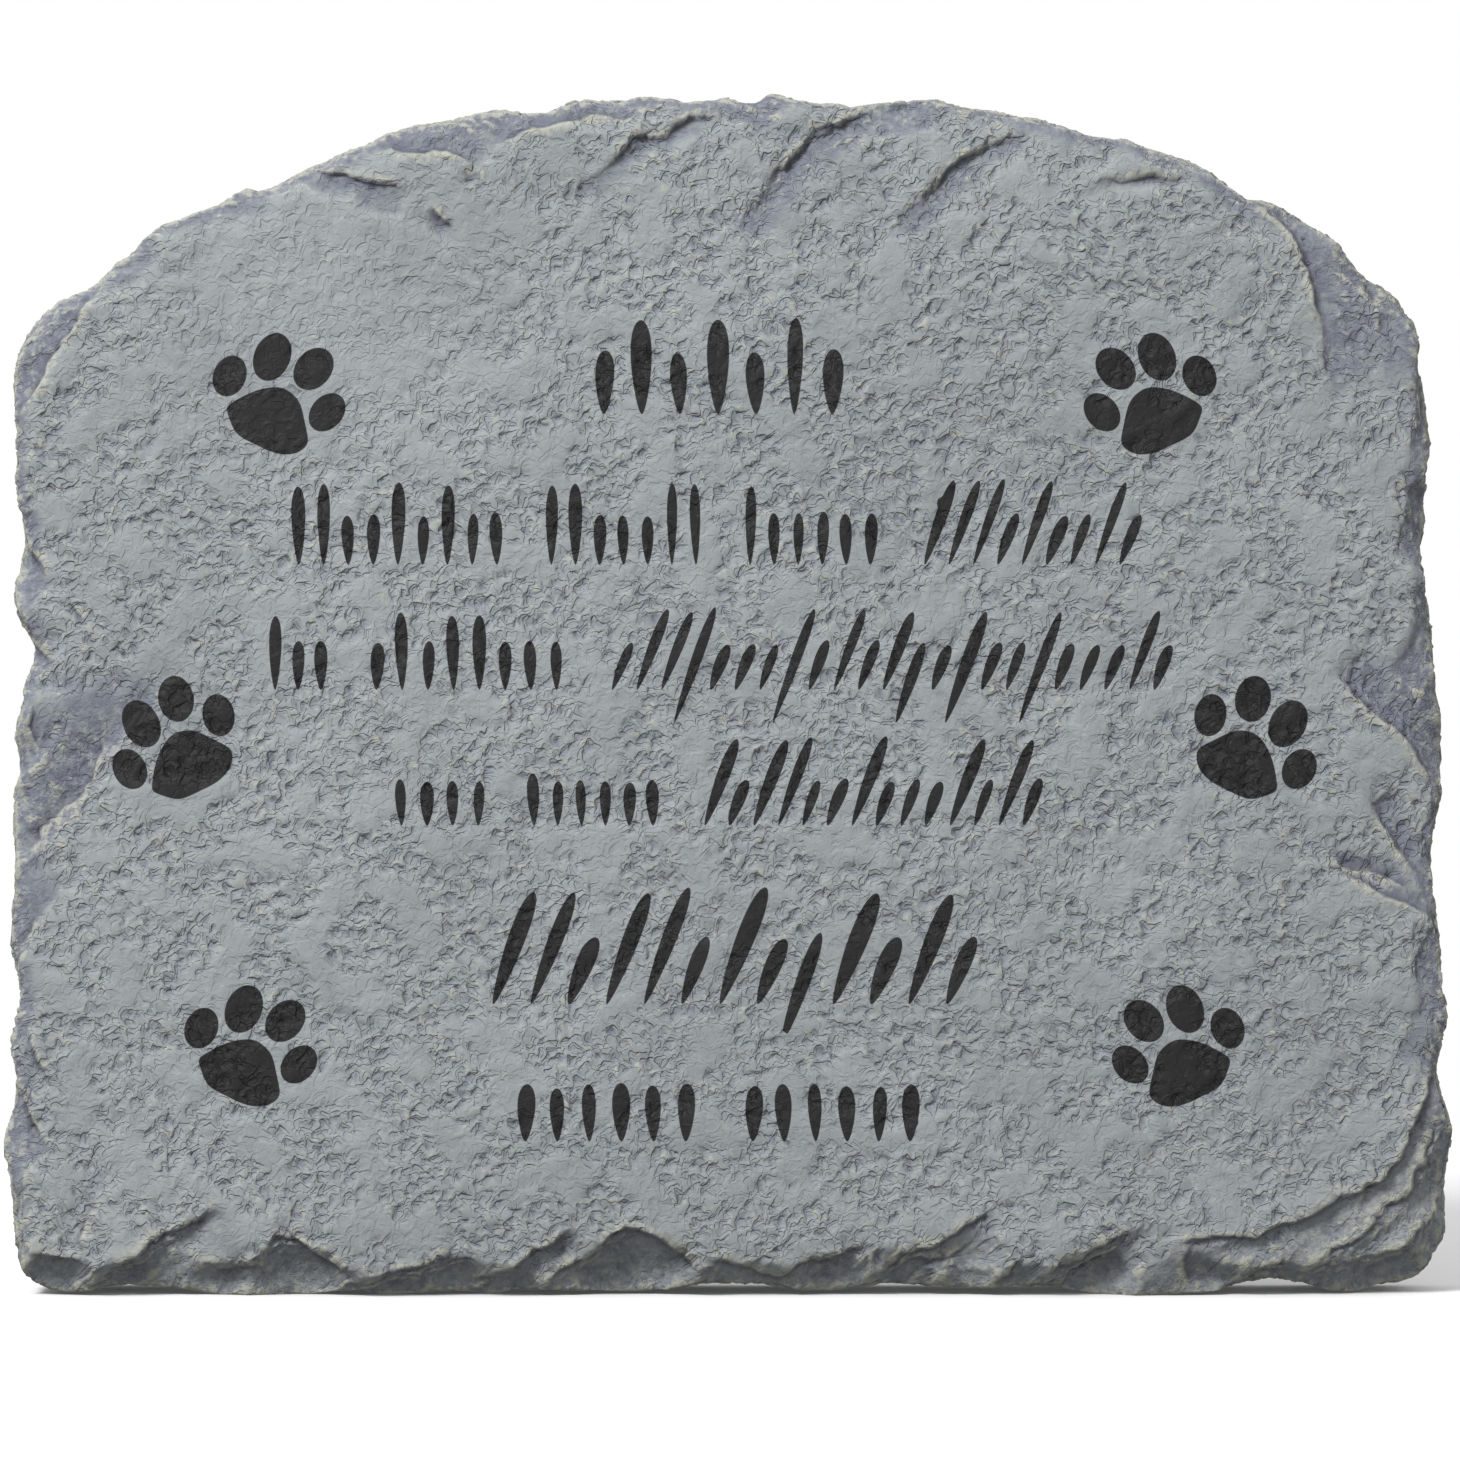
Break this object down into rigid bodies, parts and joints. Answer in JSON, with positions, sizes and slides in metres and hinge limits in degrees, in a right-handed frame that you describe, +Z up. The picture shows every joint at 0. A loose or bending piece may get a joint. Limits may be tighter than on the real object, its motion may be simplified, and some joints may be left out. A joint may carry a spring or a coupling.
{
  "type": "pet memorial stone",
  "caption": "Slate-look cast memorial slab with an arched top and chipped edges; stands on its underside, with a flat back.",
  "frame": {"origin": "below the middle of the slab, on the surface that it stands on", "axes": "+Z up; the printed face looks along -Y and the flat back along +Y; +X is to the right of someone who reads the face"},
  "size_m": [0.3051, 0.0319, 0.2526],
  "materials": {
    "cast_stone": "matt grey cast stone, rough, with print of flat black ink on its face"
  },
  "bodies": {
    "root": {"memorial_stone": "cast_stone"}
  },
  "joints": []
}
